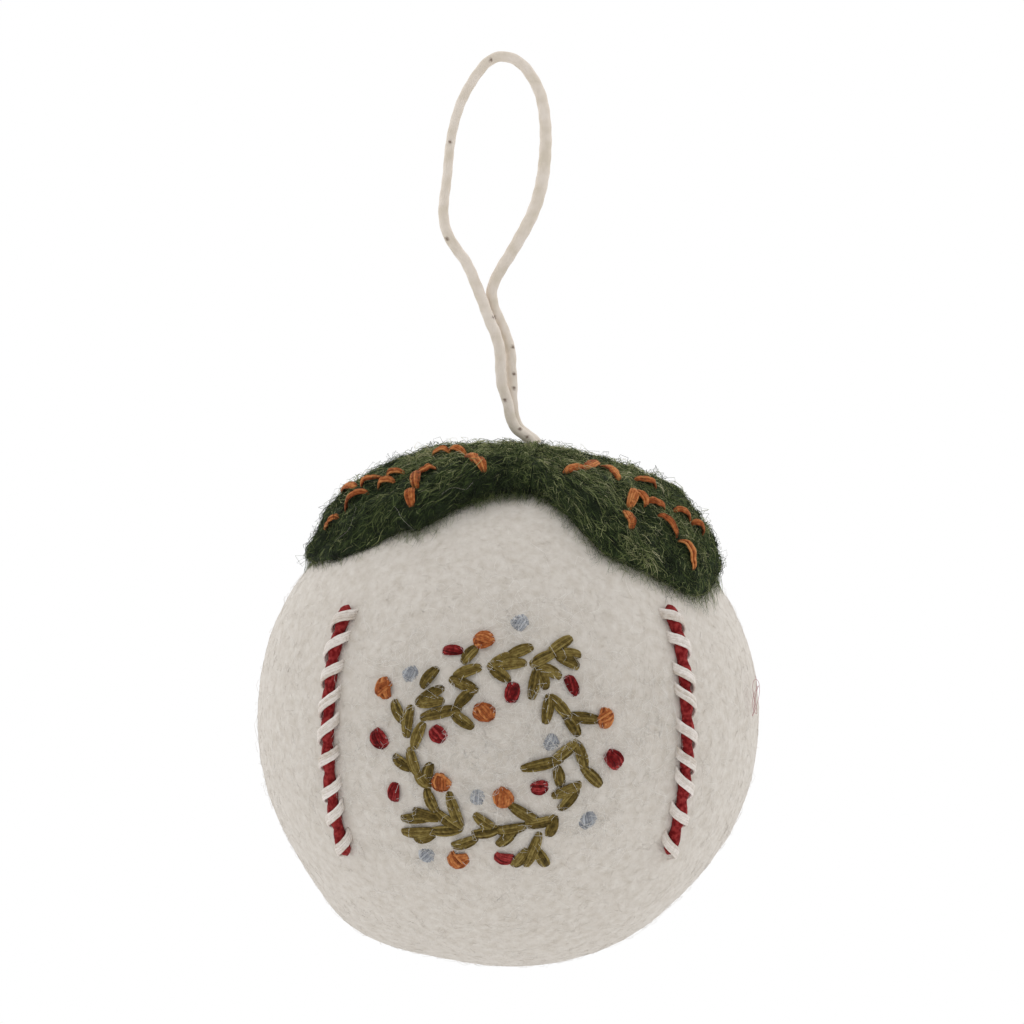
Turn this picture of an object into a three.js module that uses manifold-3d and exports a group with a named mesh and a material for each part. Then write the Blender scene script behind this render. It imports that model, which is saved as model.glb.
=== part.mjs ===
// Felt christmas bauble: a wool ball with two felt leaves, embroidery and a cotton hanging loop.
// Millimetres, +Z up, front towards -Y. The origin is the inside top of the loop, where it hangs.
import * as THREE from 'three';
import { mergeVertices } from 'three/addons/utils/BufferGeometryUtils.js';
import Module from 'manifold-3d';

const wasm = await Module();
wasm.setup();

// Driving dimensions
const ballDiameter = 80;
const feltThickness = 3;
const fitGap = 0.3;
const cutOverrun = 2;
const sliverSize = 0.04;

const strandDiameter = 1.8;
const cordDrop = 61.5;
const cordSideways = 4.35;

const tailRadius = 1.9;
const channelClearance = 0.55;
const tailLength = 12;
const knotRadius = 3.2;
const knotHeight = 5.5;
const pocketClearance = 0.6;

const leafThickness = 4;
const leafLift = 0.4;
const leafReach = 44;
const leafHoleRadius = 2.9;
const rightLeafPuff = 1.4;
const leftLeafPuff = 1.1;
const puffStart = 5;
const puffFull = 16;
const puffEase = 22;
const puffEnd = 34;

const veinHalfWidth = 0.7;
const veinHeight = 0.9;
const sprigHalfWidth = 0.75;
const sprigHeight = 0.9;
const linkRadius = 0.3;
const linkStep = 3.5;
const berryRadius = 1.5;
const berryHeight = 1.5;
const borderRadius = 1.1;
const whipRadius = 0.5;
const whipSlant = 1.7;

const ballRadius = ballDiameter / 2;
const liningRadius = ballRadius - feltThickness;
const coreRadius = liningRadius - fitGap;
const leafUnder = ballRadius + leafLift;
const leafTop = leafUnder + leafThickness;
const exitHeight = Math.sqrt(leafTop ** 2 - cordSideways ** 2);
const ballCentre = new THREE.Vector3(0, 0, -cordDrop - exitHeight);

// The ball in the photograph, in its pixels: places on the ball are read from it
const ballCentrePx = [508, 718];
const ballRadiusPx = 249;
const sizePerPx = ballRadius / ballRadiusPx;

const paint = (color, roughness) => new THREE.MeshStandardMaterial({ color, roughness, metalness: 0 });
const whiteWool = paint(0xd3cdc4, 0.95);
const greenWool = paint(0x2f4a2c, 0.95);
const coreWool = paint(0xb9ae9c, 0.95);
const cotton = paint(0xcfc4b8, 0.9);
const orangeThread = paint(0xc8692e, 0.8);
const oliveThread = paint(0x5f5824, 0.8);
const redThread = paint(0x8e1420, 0.8);
const creamThread = paint(0xe3d8c8, 0.85);
const blueThread = paint(0xa9b4c6, 0.85);

const part = new THREE.Group();
const ball = new THREE.Group();
ball.position.copy(ballCentre);
part.add(ball);

function addPiece(parent, name, geometry, material) {
  const mesh = new THREE.Mesh(geometry, material);
  mesh.name = name;
  parent.add(mesh);
  return mesh;
}

// A closed three.js geometry as a manifold solid
function solidOf(geometry) {
  const bare = geometry.clone();
  bare.deleteAttribute('normal');
  bare.deleteAttribute('uv');
  const merged = mergeVertices(bare);
  return new wasm.Manifold(new wasm.Mesh({
    numProp: 3,
    vertProperties: new Float32Array(merged.attributes.position.array),
    triVerts: new Uint32Array(merged.index.array),
  }));
}

// A manifold solid as a three.js geometry
function geometryOf(solid) {
  const mesh = solid.getMesh();
  const geometry = new THREE.BufferGeometry();
  geometry.setAttribute('position', new THREE.BufferAttribute(mesh.vertProperties, mesh.numProp));
  geometry.setIndex(new THREE.BufferAttribute(mesh.triVerts, 1));
  geometry.computeVertexNormals();
  return geometry;
}

// Overlapping geometries as one body, without the slivers along their joins
function joined(geometries) {
  const whole = geometries.map(solidOf).reduce((all, one) => all.add(one));
  return geometryOf(whole.simplify(sliverSize));
}

// A polygon of so many sides, as the section of a cord or thread
function roundSection(radius, sides) {
  const corners = [];
  for (let i = 0; i < sides; i += 1) {
    const turn = (2 * Math.PI * i) / sides;
    corners.push(new THREE.Vector2(radius * Math.cos(turn), radius * Math.sin(turn)));
  }
  return new THREE.Shape(corners);
}

// An upright round bar standing on its lower end
function uprightBar(radius, height, sides) {
  const bar = new THREE.CylinderGeometry(radius, radius, height, sides);
  bar.rotateX(Math.PI / 2);
  bar.translate(0, 0, height / 2);
  return bar;
}

// The cotton loop, one strand from the crossing up, round the top and down again behind itself.
// The points are the strand's own route, from the hanging point, and stay as chosen.
const loopRoute = [
  [-0.8, -0.8, -53.2], [-1.0, -0.8, -51.8], [-1.2, -0.8, -49.3], [-1.3, -0.8, -46.7],
  [-1.9, -0.8, -44.1], [-3.0, -0.8, -41.5], [-3.9, -0.7, -39.0], [-4.8, -0.5, -36.7],
  [-6.6, -0.2, -32.5], [-8.5, 0, -29.8], [-9.9, 0, -27.2], [-10.4, 0, -23.8], [-9.8, 0, -18.4],
  [-9.3, 0, -13.2], [-8.4, 0, -9.0], [-7.1, 0, -5.5], [-5.0, 0, -2.0], [-3.0, 0, 0.2],
  [-0.8, 0, 0.9], [1.6, 0, 0.1], [3.6, 0, -2.0], [5.3, 0, -5.5], [6.0, 0, -10.0], [6.0, 0, -14.5],
  [5.4, 0, -19.6], [3.9, 0, -24.5], [1.0, 0, -29.9], [-1.4, 0.3, -33.8], [-2.6, 0.6, -36.7],
  [-2.3, 0.8, -39.4], [-1.3, 0.8, -41.7], [-0.3, 0.8, -44.1], [0.4, 0.8, -46.7],
  [0.5, 0.8, -49.3], [0.7, 0.8, -51.8], [0.9, 0.8, -53.2],
];
const cordSides = 8;
const loopSteps = 54;
const smoothLine = (points) => new THREE.CatmullRomCurve3(points, false, 'centripetal');
const loopLine = smoothLine(loopRoute.map((p) => new THREE.Vector3(...p)));
addPiece(part, 'hanging_loop', new THREE.ExtrudeGeometry(roundSection(strandDiameter / 2, cordSides), {
  steps: loopSteps,
  extrudePath: loopLine,
}), cotton);

// Below the crossing the two strands lie one behind the other, felted into one short stem
const stemRoute = [
  [0.1, 0, -53.6], [0.35, 0, -55.0], [0.6, 0, -56.6], [1.1, 0, -58.2], [2.2, 0, -59.5],
  [3.5, 0, -60.2], [4.2, 0, -60.8], [4.35, 0, -61.4],
];
const stemSteps = 12;
const stemLine = smoothLine(stemRoute.map((p) => new THREE.Vector3(...p)));
const strandRadius = strandDiameter / 2;
const lobeDegrees = [20, 60, 120, 160, 200, 240, 300, 340];
const stemSection = new THREE.Shape(lobeDegrees.map((degrees) => {
  const turn = (degrees * Math.PI) / 180;
  return new THREE.Vector2(
    strandRadius * (Math.cos(turn) + Math.sign(Math.cos(turn))),
    strandRadius * Math.sin(turn),
  );
}));
addPiece(part, 'cord_stem', new THREE.ExtrudeGeometry(stemSection, {
  steps: stemSteps,
  extrudePath: stemLine,
}), cotton);

// Inside the ball the strands end in a knot, drawn up under the roof of its pocket
const turnSegments = 12;
const tailTop = exitHeight - fitGap;
const knotTop = tailTop - tailLength;
const knotProfile = [
  [0, knotTop - knotHeight],
  [knotRadius * 0.55, knotTop - knotHeight],
  [knotRadius, knotTop - knotHeight * 0.65],
  [knotRadius, knotTop - knotHeight * 0.3],
  [knotRadius * 0.8, knotTop],
  [tailRadius, knotTop],
  [tailRadius, tailTop],
  [0, tailTop],
].map(([x, y]) => new THREE.Vector2(x, y));
const knot = addPiece(ball, 'cord_knot', new THREE.LatheGeometry(knotProfile, turnSegments), cotton);
knot.rotation.x = Math.PI / 2;
knot.position.x = cordSideways;

// The channel that the cord runs in, and the pocket of its knot, as one cutter
const channelRadius = tailRadius + channelClearance;
const pocketRadius = knotRadius + pocketClearance;
const pocketTop = knotTop + fitGap;
const pocketFloor = knotTop - knotHeight - fitGap;
const channel = uprightBar(channelRadius, ballRadius + cutOverrun - pocketTop + cutOverrun, turnSegments);
channel.translate(cordSideways, 0, pocketTop - cutOverrun);
const pocket = uprightBar(pocketRadius, pocketTop - pocketFloor, turnSegments);
pocket.translate(cordSideways, 0, pocketFloor);
const cordHole = solidOf(channel).add(solidOf(pocket));

// The core of coarse wool and the white wool felted round it
const ballAround = 28;
const ballRows = 18;
const sphere = (radius) => solidOf(new THREE.SphereGeometry(radius, ballAround, ballRows));
addPiece(ball, 'wool_core', geometryOf(sphere(coreRadius).subtract(cordHole)), coreWool);
const feltLayer = sphere(ballRadius).subtract(sphere(liningRadius));
addPiece(ball, 'felt_ball', geometryOf(feltLayer.subtract(cordHole)), whiteWool);

// A point at a distance along the ball from the cord, in a direction round it.
// Directions in degrees: 0 right, 90 front, 180 left, 270 back.
const exitWay = new THREE.Vector3(cordSideways, 0, exitHeight).normalize();
const rightWay = new THREE.Vector3(exitHeight, 0, -cordSideways).normalize();
const frontWay = new THREE.Vector3(0, -1, 0);
function roundTheCord(degrees, distance, radius) {
  const turn = (degrees * Math.PI) / 180;
  const bend = distance / ballRadius;
  return exitWay.clone().multiplyScalar(Math.cos(bend))
    .addScaledVector(rightWay, Math.sin(bend) * Math.cos(turn))
    .addScaledVector(frontWay, Math.sin(bend) * Math.sin(turn))
    .multiplyScalar(radius);
}

// Each leaf's edge: direction in degrees and distance from the cord as a share of leafReach
const rightEdgeShares = [
  [-98, 0.5], [-78, 0.56], [-62, 0.72], [-48, 0.66], [-30, 0.76], [-14, 0.74], [0, 0.76],
  [11, 0.79], [22, 0.85], [31, 0.9], [44, 0.86], [55, 0.8], [65, 0.73], [71, 0.61], [79, 0.5],
  [88, 0.43], [98, 0.41],
];
const leftEdgeShares = [
  [82, 0.42], [93, 0.43], [102, 0.46], [112, 0.56], [121, 0.66], [130, 0.76], [139, 0.84],
  [148, 0.9], [158, 0.92], [170, 0.9], [182, 0.86], [196, 0.79], [212, 0.82], [228, 0.7],
  [244, 0.68], [258, 0.55], [278, 0.5],
];
// The leaf's section from the hole to the edge and back underneath: shares of the way and of the thickness
const leafSectionShares = [
  [0, 1], [0.28, 1], [0.56, 1], [0.78, 1], [0.92, 0.88], [1, 0.5],
  [0.96, 0.12], [0.8, 0], [0.56, 0], [0.28, 0], [0, 0],
];
const leafStations = 32;

// How much a leaf puffs up at a distance from the cord: more on the shoulder of the ball
const puffed = (puff) => (distance) => puff * THREE.MathUtils.clamp(Math.min(
  (distance - puffStart) / (puffFull - puffStart),
  (puffEnd - distance) / (puffEnd - puffEase),
), 0, 1);
const rightPuffAt = puffed(rightLeafPuff);
const leftPuffAt = puffed(leftLeafPuff);

function leafSolid(edgeShares, puffAt) {
  const edge = new THREE.SplineCurve(edgeShares.map(([x, y]) => new THREE.Vector2(x, y)));
  const count = leafSectionShares.length;
  const corners = [];
  for (let i = 0; i <= leafStations; i += 1) {
    const { x: degrees, y: share } = edge.getPoint(i / leafStations);
    const reach = share * leafReach;
    leafSectionShares.forEach(([way, rise]) => {
      const distance = leafHoleRadius + way * (reach - leafHoleRadius);
      const thickness = leafThickness + puffAt(distance);
      corners.push(roundTheCord(degrees, distance, leafUnder + rise * thickness));
    });
  }
  const faces = [];
  for (let i = 0; i < leafStations; i += 1) {
    for (let k = 0; k < count; k += 1) {
      const here = i * count + k;
      const beside = i * count + ((k + 1) % count);
      faces.push(here, beside + count, beside, here, here + count, beside + count);
    }
  }
  // The two cut ends are closed by pairing the upper and lower points
  const last = leafStations * count;
  const tip = (count - 1) / 2;
  for (let k = 0; k < tip; k += 1) {
    const under = count - 1 - k;
    faces.push(k, k + 1, under, last + k, last + under, last + k + 1);
    if (k + 1 < tip) {
      faces.push(k + 1, under - 1, under, last + k + 1, last + under, last + under - 1);
    }
  }
  const geometry = new THREE.BufferGeometry().setFromPoints(corners);
  geometry.setIndex(faces);
  return solidOf(geometry);
}

// The two leaves meet at a cut through the cord's hole
function seamHalf(side) {
  const size = leafTop + leafReach;
  const half = new THREE.BoxGeometry(size, 2 * size, 2 * size);
  half.translate(cordSideways + side * (fitGap / 2 + size / 2), 0, 0);
  return solidOf(half);
}
const leafRight = leafSolid(rightEdgeShares, rightPuffAt).intersect(seamHalf(1));
const leafLeft = leafSolid(leftEdgeShares, leftPuffAt).intersect(seamHalf(-1));
addPiece(ball, 'leaf_right', geometryOf(leafRight), greenWool);
addPiece(ball, 'leaf_left', geometryOf(leafLeft), greenWool);

// A point of the photograph on the front of a sphere about the ball's centre
function seenAt([px, py], radius) {
  const x = (px - ballCentrePx[0]) * sizePerPx;
  const z = (ballCentrePx[1] - py) * sizePerPx;
  const depth = Math.sqrt(Math.max(0, radius ** 2 - x ** 2 - z ** 2));
  return new THREE.Vector3(x, -depth, z).setLength(radius);
}

// The same on top of the ball's felt and of either leaf
const onBall = (px) => seenAt(px, ballRadius + fitGap);
const onLeaf = (puffAt) => (px) => {
  const distance = ballRadius * seenAt(px, leafTop).angleTo(exitWay);
  return seenAt(px, leafTop + puffAt(distance) + fitGap);
};

// A closed skin over rings of points that turn about the way they follow, each end drawn to a point
function skin(rings, start, end) {
  const sides = rings[0].length;
  const corners = rings.flat().concat([start, end]);
  const first = corners.length - 2;
  const last = corners.length - 1;
  const faces = [];
  rings.forEach((ring, i) => {
    for (let k = 0; k < sides; k += 1) {
      const here = i * sides + k;
      const beside = i * sides + ((k + 1) % sides);
      if (i === 0) faces.push(first, beside, here);
      if (i === rings.length - 1) faces.push(last, here, beside);
      else faces.push(here, beside, beside + sides, here, beside + sides, here + sides);
    }
  });
  const geometry = new THREE.BufferGeometry().setFromPoints(corners);
  geometry.setIndex(faces);
  return geometry;
}

// One stitch lying on a sphere: a loop of thread that swells in the middle.
// Rings: share of the length, share of the width
const stitchRingShares = [[0.28, 0.95], [0.72, 0.95]];
const stitchSides = 6;
const raised = (point, rise) => point.clone().setLength(point.length() + rise);
function between(from, to, way, rise) {
  const radius = THREE.MathUtils.lerp(from.length(), to.length(), way);
  return from.clone().lerp(to, way).setLength(radius + rise);
}
function stitch(from, to, halfWidth, height) {
  const along = to.clone().sub(from).normalize();
  const rings = stitchRingShares.map(([way, swell]) => {
    const middle = between(from, to, way, height / 2);
    const up = middle.clone().normalize();
    const side = up.clone().cross(along).normalize();
    return Array.from({ length: stitchSides }, (_, k) => {
      const turn = (2 * Math.PI * k) / stitchSides;
      return middle.clone()
        .addScaledVector(side, halfWidth * swell * Math.cos(turn))
        .addScaledVector(up, (height / 2) * swell * Math.sin(turn));
    });
  });
  return skin(rings, raised(from, height / 2), raised(to, height / 2));
}

// A thin round thread through points, whose rings are set square to it with the help of a second direction
function thread(points, across, radius, sides) {
  const rings = points.map((point, i) => {
    const before = points[Math.max(0, i - 1)];
    const after = points[Math.min(points.length - 1, i + 1)];
    const along = after.clone().sub(before).normalize();
    const u = across(point).clone();
    u.addScaledVector(along, -u.dot(along)).normalize();
    const v = along.clone().cross(u);
    return Array.from({ length: sides }, (_, k) => {
      const turn = (2 * Math.PI * k) / sides;
      return point.clone()
        .addScaledVector(u, radius * Math.cos(turn))
        .addScaledVector(v, radius * Math.sin(turn));
    });
  });
  return skin(rings, points[0], points[points.length - 1]);
}

// Stitches sewn with one thread: each is joined to the next by the thread that runs between them
const linkSides = 4;
const stitchHoldShare = 0.15;
function sewn(stitchesPx, surface, halfWidth, height) {
  const ends = stitchesPx.map(([ax, ay, bx, by]) => [surface([ax, ay]), surface([bx, by])]);
  const pieces = ends.map(([from, to]) => stitch(from, to, halfWidth, height));
  for (let i = 1; i < ends.length; i += 1) {
    const leave = between(ends[i - 1][1], ends[i - 1][0], stitchHoldShare, height / 2);
    const arrive = between(ends[i][0], ends[i][1], stitchHoldShare, height / 2);
    const steps = Math.ceil(leave.distanceTo(arrive) / linkStep);
    const line = Array.from({ length: steps + 1 }, (_, k) => between(leave, arrive, k / steps, 0));
    pieces.push(thread(line, (point) => point, linkRadius, linkSides));
  }
  return joined(pieces);
}

// Vein stitches on the leaves, each from one end to the other, in pixels of the photograph
const leftVeinsPx = [
  [322, 526, 335, 516], [342, 494, 354, 486], [345, 508, 367, 492], [361, 483, 380, 475],
  [379, 485, 393, 480], [387, 474, 402, 470], [434, 466, 419, 471], [417, 472, 416, 485],
  [411, 488, 411, 502], [432, 446, 453, 444], [456, 445, 466, 449], [468, 450, 477, 457],
  [479, 459, 483, 470],
];
const rightVeinsPx = [
  [566, 470, 584, 466], [587, 467, 599, 462], [602, 465, 618, 477], [636, 474, 655, 481],
  [634, 490, 630, 504], [625, 510, 631, 526], [636, 491, 646, 502], [650, 499, 664, 505],
  [660, 513, 678, 533], [680, 539, 695, 566], [702, 531, 694, 522], [690, 517, 676, 509],
];
[['leaf_left_veins', leftVeinsPx, leftPuffAt], ['leaf_right_veins', rightVeinsPx, rightPuffAt]].forEach(
  ([name, stitchesPx, puffAt]) => {
    const geometry = sewn(stitchesPx, onLeaf(puffAt), veinHalfWidth, veinHeight);
    addPiece(ball, name, geometry, orangeThread);
  },
);

// The wreath: sprigs of leaf stitches, in pixels of the photograph
const sprigsPx = [
  [[463, 663, 478, 653], [453, 675, 480, 666], [453, 677, 477, 686]],
  [[472, 692, 456, 706], [421, 715, 455, 709], [454, 716, 472, 725]],
  [[437, 668, 421, 684], [416, 702, 440, 688], [417, 703, 442, 698]],
  [[395, 698, 402, 722], [412, 705, 407, 726], [424, 722, 413, 739]],
  [[394, 751, 409, 764], [411, 749, 416, 767], [412, 765, 422, 779], [426, 775, 432, 764]],
  [[428, 785, 435, 803], [417, 807, 439, 809], [402, 814, 434, 815], [404, 830, 457, 826],
    [441, 812, 458, 822], [449, 794, 459, 819]],
  [[453, 842, 476, 835], [471, 828, 497, 826], [476, 813, 490, 822], [498, 825, 517, 823],
    [497, 838, 513, 827]],
  [[514, 807, 532, 817], [525, 821, 548, 816], [547, 832, 553, 811]],
  [[516, 860, 526, 845], [528, 858, 538, 829], [543, 858, 539, 845]],
  [[553, 792, 577, 783], [561, 804, 578, 785]],
  [[523, 766, 556, 757], [556, 768, 559, 780], [558, 763, 578, 742], [580, 743, 586, 762],
    [586, 764, 600, 782]],
  [[546, 719, 550, 695], [552, 697, 567, 712], [566, 714, 577, 731], [569, 712, 590, 716]],
  [[531, 696, 533, 671], [538, 674, 544, 686], [558, 675, 545, 667], [534, 662, 558, 651],
    [551, 649, 569, 638], [561, 651, 578, 653], [562, 657, 577, 666]],
  [[530, 648, 506, 654], [524, 658, 492, 663], [491, 666, 508, 677]],
];
const numbered = (name, i) => `${name}_${String(i + 1).padStart(2, '0')}`;
sprigsPx.forEach((stitchesPx, i) => {
  const geometry = sewn(stitchesPx, onBall, sprigHalfWidth, sprigHeight);
  addPiece(ball, numbered('wreath_sprig', i), geometry, oliveThread);
});

// French knots: small domes of thread wound round the needle, with a hollow where it went down
const berrySegments = 6;
const berryProfileShares = [[0, 0], [0.8, 0], [1, 0.45], [0.7, 0.95], [0.25, 1], [0, 0.85]];
const berryShape = new THREE.LatheGeometry(
  berryProfileShares.map(([x, y]) => new THREE.Vector2(x * berryRadius, y * berryHeight)),
  berrySegments,
);
const berries = [
  ['red_berry', redThread, [
    [453, 649], [513, 691], [572, 683], [437, 731], [379, 737], [396, 791], [539, 784],
    [612, 756], [504, 852],
  ]],
  ['orange_berry', orangeThread, [
    [485, 640], [385, 687], [485, 711], [604, 715], [442, 780], [503, 795], [458, 856],
  ]],
  ['blue_berry', blueThread, [
    [519, 622], [412, 672], [550, 740], [478, 795], [588, 818], [428, 853],
  ]],
];
const upWay = new THREE.Vector3(0, 1, 0);
berries.forEach(([name, material, placesPx]) => placesPx.forEach((placePx, i) => {
  const berry = addPiece(ball, numbered(name, i), berryShape.clone(), material);
  berry.position.copy(onBall(placePx));
  berry.quaternion.setFromUnitVectors(upWay, berry.position.clone().normalize());
}));

// A bowed border either side of the wreath: a padded red cord whipped with cream thread
const leftBorderPx = [
  [352, 606], [341, 640], [334, 684], [332, 728], [334, 772], [341, 816], [352, 850],
];
const borderSteps = 16;
const whipCount = 9;
const whipPoints = 6;
const whipSides = 5;
const railPoints = 17;
const rightBorderPx = leftBorderPx.map(([px, py]) => [2 * ballCentrePx[0] - px, py]);
[['left', leftBorderPx, 1], ['right', rightBorderPx, -1]].forEach(([side, routePx, inwards]) => {
  const height = ballRadius + fitGap + borderRadius;
  const line = smoothLine(routePx.map((p) => seenAt(p, height)));
  addPiece(ball, `border_${side}`, new THREE.ExtrudeGeometry(roundSection(borderRadius, cordSides), {
    steps: borderSteps,
    extrudePath: line,
  }), redThread);

  // A point of the whipping: at a share of the border's length, turned over it from the inner side
  const archRadius = borderRadius + fitGap + whipRadius;
  function overBorder(share, turn) {
    const along = line.getTangentAt(share);
    const middle = line.getPointAt(share);
    const across = along.clone().cross(middle).normalize();
    const up = across.clone().cross(along);
    return middle
      .addScaledVector(across, inwards * archRadius * Math.cos(turn))
      .addScaledVector(up, archRadius * Math.sin(turn))
      .addScaledVector(along, whipSlant * Math.cos(turn));
  }
  const footTurn = Math.asin((whipRadius - borderRadius) / archRadius);
  const shareOf = (i) => (i + 0.5) / whipCount;
  const pieces = Array.from({ length: whipCount }, (_, i) => {
    const points = Array.from({ length: whipPoints }, (_, k) => (
      overBorder(shareOf(i), footTurn + ((Math.PI - 2 * footTurn) * k) / (whipPoints - 1))
    ));
    return thread(points, () => line.getTangentAt(shareOf(i)), whipRadius, whipSides);
  });
  // The thread between the whip stitches, along their feet on the inner side
  const rail = Array.from({ length: railPoints }, (_, k) => (
    overBorder(shareOf((k * (whipCount - 1)) / (railPoints - 1)), footTurn)
  ));
  pieces.push(thread(rail, (point) => point, linkRadius, linkSides));
  addPiece(ball, `border_whipping_${side}`, joined(pieces), creamThread);
});

export default part;
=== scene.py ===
"""A felt christmas bauble: a white wool ball with green felt leaves, embroidery and a cotton loop.

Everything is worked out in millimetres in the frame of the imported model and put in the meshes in
metres. The hanging point is the origin, the front of the bauble looks along -Y and up is +Z.
"""
import math

import bpy
import numpy as np
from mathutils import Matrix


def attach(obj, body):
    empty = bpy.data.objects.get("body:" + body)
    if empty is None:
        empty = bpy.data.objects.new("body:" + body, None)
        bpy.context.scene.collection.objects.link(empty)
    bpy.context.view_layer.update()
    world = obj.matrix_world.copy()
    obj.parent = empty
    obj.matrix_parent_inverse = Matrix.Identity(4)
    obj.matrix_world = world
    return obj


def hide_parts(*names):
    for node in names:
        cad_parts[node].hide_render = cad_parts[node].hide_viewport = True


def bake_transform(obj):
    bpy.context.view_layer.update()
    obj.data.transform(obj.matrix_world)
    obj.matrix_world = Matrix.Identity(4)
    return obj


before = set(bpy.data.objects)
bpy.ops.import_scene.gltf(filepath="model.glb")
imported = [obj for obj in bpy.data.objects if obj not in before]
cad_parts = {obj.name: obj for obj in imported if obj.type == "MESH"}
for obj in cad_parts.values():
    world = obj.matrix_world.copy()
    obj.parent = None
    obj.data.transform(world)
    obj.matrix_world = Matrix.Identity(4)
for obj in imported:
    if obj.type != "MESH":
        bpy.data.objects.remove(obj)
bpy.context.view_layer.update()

# Camera: level with the bauble and square to its embroidered front, far off behind a long lens,
# so that the ball shows as flat-on as in the product picture.
mm = 0.001
mm_per_pixel = 0.161
picture_pixels = 1024
hanging_point_pixel = (508, 62)
camera_distance = 5000
camera_sight = 4 * camera_distance
camera_data = bpy.data.cameras.new("camera")
camera_data.lens = camera_data.sensor_width * camera_distance / (picture_pixels * mm_per_pixel)
camera_data.clip_end = camera_sight * mm
camera = bpy.data.objects.new("camera", camera_data)
camera.location = (
    (picture_pixels / 2 - hanging_point_pixel[0]) * mm_per_pixel * mm,
    -camera_distance * mm,
    (hanging_point_pixel[1] - picture_pixels / 2) * mm_per_pixel * mm,
)
camera.rotation_euler = (math.radians(90), 0, 0)
bpy.context.scene.collection.objects.link(camera)
bpy.context.scene.camera = camera

# Hanging cord: one length of soft-spun natural cotton, doubled over into a loop. Both ends run
# down side by side, cross to one behind the other and go through the leaves into the ball. It is
# thick and thin in turn, by the shares in cord_swell, and has a few flecks of seed husk.
cord_route = [
    (4.05, -0.85, -61.5), (3.5, -0.88, -60.7), (2.5, -0.9, -60.0), (1.4, -0.9, -59.1),
    (0.6, -0.9, -57.8), (0.2, -0.9, -56.2), (-0.1, -0.9, -54.6), (-0.6, -0.85, -53.2),
    (-1.0, -0.85, -51.8), (-1.2, -0.85, -49.3), (-1.3, -0.85, -46.7), (-1.9, -0.85, -44.1),
    (-3.0, -0.8, -41.5), (-3.9, -0.7, -39.0), (-4.8, -0.5, -36.7), (-6.6, -0.2, -32.5),
    (-8.5, 0, -29.8), (-9.9, 0, -27.2), (-10.4, 0, -23.8), (-9.8, 0, -18.4), (-9.3, 0, -13.2),
    (-8.4, 0, -9.0), (-7.1, 0, -5.5), (-5.0, 0, -2.0), (-3.0, 0, 0.2), (-0.8, 0, 0.9),
    (1.6, 0, 0.1), (3.6, 0, -2.0), (5.3, 0, -5.5), (6.0, 0, -10.0), (6.0, 0, -14.5),
    (5.4, 0, -19.6), (3.9, 0, -24.5), (1.0, 0, -29.9), (-1.4, 0.3, -33.8), (-2.6, 0.6, -36.7),
    (-2.3, 0.8, -39.4), (-1.3, 0.85, -41.7), (-0.3, 0.85, -44.1), (0.4, 0.85, -46.7),
    (0.5, 0.85, -49.3), (0.7, 0.85, -51.8), (0.65, 0.85, -53.2), (0.7, 0.9, -54.6),
    (0.85, 0.9, -56.2), (1.2, 0.9, -57.8), (2.0, 0.9, -59.1), (3.1, 0.9, -60.0),
    (4.1, 0.88, -60.7), (4.65, 0.85, -61.5),
]
cord_diameter = 1.8
cord_swell = [0.95, 0.95, 1, 1, 0.95, 0.86, 0.84, 0.9, 1, 1.05, 1.14, 1.12, 1.0, 0.95, 0.95, 0.95]
cord_rings, cord_sides = 460, 20
cord_plies, cord_groove, cord_pitch = 3, 0.035, 7.5
husk_pixels = [
    (491, 60), (450, 142), (447, 239), (494, 317), (513, 347), (514, 374), (514, 388), (505, 400),
    (520, 429), (527, 437),
]
husk_size, husk_sharpness, husk_front = 0.38, 1.5, 0.4
curve_steps = 24


def smooth_line(points, count):
    """A smooth line through points: between neighbours start and end, the cubic that leaves start
    along (end - point before) / 2 and reaches end along (point after - start) / 2, read again at
    count even steps of its length."""
    points = np.array(points, float)
    before = np.vstack([2 * points[0] - points[1], points[:-2]])
    after = np.vstack([points[2:], 2 * points[-1] - points[-2]])
    t = np.linspace(0, 1, curve_steps, endpoint=False)[None, :, None]
    start, end = points[:-1, None], points[1:, None]
    leave, reach = (end - before[:, None]) / 2, (after[:, None] - start) / 2
    line = (
        (2 * t**3 - 3 * t**2 + 1) * start
        + (t**3 - 2 * t**2 + t) * leave
        + (3 * t**2 - 2 * t**3) * end
        + (t**3 - t**2) * reach
    ).reshape(-1, points.shape[1])
    line = np.vstack([line, points[-1]])
    length = np.concatenate([[0], np.cumsum(np.linalg.norm(np.diff(line, axis=0), axis=1))])
    even = np.linspace(0, length[-1], count)
    return np.stack([np.interp(even, length, column) for column in line.T], 1)


def unit(vectors):
    """The vectors divided by their own length."""
    return vectors / np.linalg.norm(vectors, axis=-1, keepdims=True)


def sweep(lines, up, half_width, half_height, sides, plies=0, groove=0.0, pitch=1.0):
    """Rings along lines, shaped (lines, points, sides, 3): each point + across x half_width x
    cos v + up x half_height x sin v, both times 1 + groove x cos(plies x (v + 2 pi s / pitch)) at
    length s, which cuts the hollows between plies that wind round the thread."""
    way = unit(np.gradient(lines, axis=1))
    up = unit(up - (up * way).sum(-1, keepdims=True) * way)
    across = np.cross(way, up)
    steps = np.linalg.norm(np.diff(lines, axis=1), axis=-1)
    length = np.concatenate([np.zeros((len(lines), 1)), np.cumsum(steps, 1)], 1)[..., None]
    v = 2 * np.pi * np.arange(sides) / sides
    swell = 1 + groove * np.cos(plies * (v + 2 * np.pi * length / pitch))
    x = (np.asarray(half_width)[..., None] * np.cos(v) * swell)[..., None]
    y = (np.asarray(half_height)[..., None] * np.sin(v) * swell)[..., None]
    return lines[:, :, None] + across[:, :, None] * x + up[:, :, None] * y


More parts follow.
